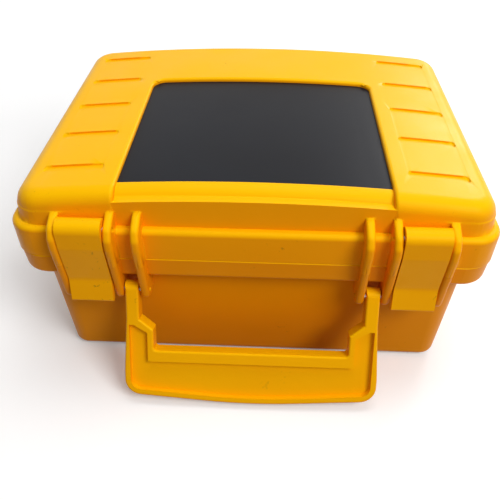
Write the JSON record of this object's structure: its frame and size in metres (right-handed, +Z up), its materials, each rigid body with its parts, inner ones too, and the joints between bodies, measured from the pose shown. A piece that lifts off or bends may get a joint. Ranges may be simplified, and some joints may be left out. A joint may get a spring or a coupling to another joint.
{
  "type": "portable insulation and appliance safety tester",
  "caption": "Electrical safety tester in a yellow hard carrying case: hinged lid, two draw latches, folding carry handle, instrument panel inside.",
  "frame": {"origin": "under the middle of the case, on the surface that it stands on", "axes": "+X along the case to the right seen from the front, -Y towards the handle and latches, +Z up"},
  "size_m": [0.2698, 0.2541, 0.1344],
  "materials": {
    "base_shell": "satin moulded yellow plastic",
    "lid_shell": "satin moulded yellow plastic",
    "latch_left": "satin moulded yellow plastic",
    "latch_right": "satin moulded yellow plastic",
    "carry_handle": "satin moulded yellow plastic",
    "lid_plate": "dark semi-gloss sheet",
    "rubber_feet": "matte",
    "lid_gasket": "matte",
    "handle_pins": "turned steel",
    "hinge_pins": "turned steel",
    "latch_pins": "turned steel",
    "control_panel": "dark grey textured",
    "panel_screws": "zinc plated",
    "mains_outlet": "white moulding",
    "mains_inlet": "black moulding",
    "inlet_pins": "plated brass",
    "selector_knob": "black moulding",
    "selector_switch": "grey moulding",
    "signal_lamps": "clear coloured lens",
    "key_left": "green key",
    "key_middle": "grey key",
    "key_right": "red key",
    "fuse_holders": "black moulding",
    "fuse_caps": "black moulding",
    "display_bezel": "black moulding",
    "display_window": "clear",
    "display_module": "grey-green display",
    "key_board": "green board",
    "key_switches": "black",
    "terminal_shrouds": "red shroud",
    "terminal_sleeves": "plated brass",
    "board_standoffs": "nylon",
    "board_screws": "zinc plated",
    "main_board": "green board",
    "relays": "blue case",
    "capacitors": "black sleeve",
    "chips": "black",
    "transformer_bracket": "plated",
    "transformer_core": "lacquered laminations",
    "transformer_winding": "taped winding"
  },
  "bodies": {
    "base": {"base_shell": "base_shell", "rubber_feet": "rubber_feet", "handle_pins": "handle_pins", "hinge_pins": "hinge_pins", "control_panel": "control_panel", "panel_screws": "panel_screws", "mains_outlet": "mains_outlet", "mains_inlet": "mains_inlet", "inlet_pins": "inlet_pins", "selector_switch": "selector_switch", "signal_lamps": "signal_lamps", "fuse_holders": "fuse_holders", "fuse_caps": "fuse_caps", "display_bezel": "display_bezel", "display_window": "display_window", "display_module": "display_module", "key_board": "key_board", "key_switches": "key_switches", "terminal_shrouds": "terminal_shrouds", "terminal_sleeves": "terminal_sleeves", "board_standoffs": "board_standoffs", "board_screws": "board_screws", "main_board": "main_board", "relays": "relays", "capacitors": "capacitors", "chips": "chips", "transformer_bracket": "transformer_bracket", "transformer_core": "transformer_core", "transformer_winding": "transformer_winding"},
    "lid": {"lid_shell": "lid_shell", "lid_gasket": "lid_gasket", "lid_plate": "lid_plate", "latch_pins": "latch_pins"},
    "latch_left": {"latch_left": "latch_left"},
    "latch_right": {"latch_right": "latch_right"},
    "handle": {"carry_handle": "carry_handle"},
    "selector": {"selector_knob": "selector_knob"},
    "key_left": {"key_left": "key_left"},
    "key_middle": {"key_middle": "key_middle"},
    "key_right": {"key_right": "key_right"}
  },
  "joints": [
    {"name": "lid_hinge", "type": "hinge", "parent": "base", "child": "lid", "pos_m": [0, 0.1125, 0.091], "axis": [-1, 0, 0], "range_deg": [0, 100]},
    {"name": "latch_left_pivot", "type": "hinge", "parent": "lid", "child": "latch_left", "pos_m": [-0.09145, -0.1083, 0.1136], "axis": [-1, 0, 0], "range_deg": [0, 150]},
    {"name": "latch_right_pivot", "type": "hinge", "parent": "lid", "child": "latch_right", "pos_m": [0.09145, -0.1083, 0.1136], "axis": [-1, 0, 0], "range_deg": [0, 150]},
    {"name": "handle_pivot", "type": "hinge", "parent": "base", "child": "handle", "pos_m": [0, -0.1038, 0.0675], "axis": [-1, 0, 0], "range_deg": [-20, 95]},
    {"name": "selector_turn", "type": "hinge", "parent": "base", "child": "selector", "pos_m": [0.052, -0.022, 0.0833], "axis": [0, 0, -1], "range_deg": [0, 150]},
    {"name": "key_left_press", "type": "slide", "parent": "base", "child": "key_left", "axis": [0, 0, -1], "range_m": [0, 0.002], "stiffness_N_per_m": 400},
    {"name": "key_middle_press", "type": "slide", "parent": "base", "child": "key_middle", "axis": [0, 0, -1], "range_m": [0, 0.002], "stiffness_N_per_m": 400},
    {"name": "key_right_press", "type": "slide", "parent": "base", "child": "key_right", "axis": [0, 0, -1], "range_m": [0, 0.002], "stiffness_N_per_m": 400}
  ]
}
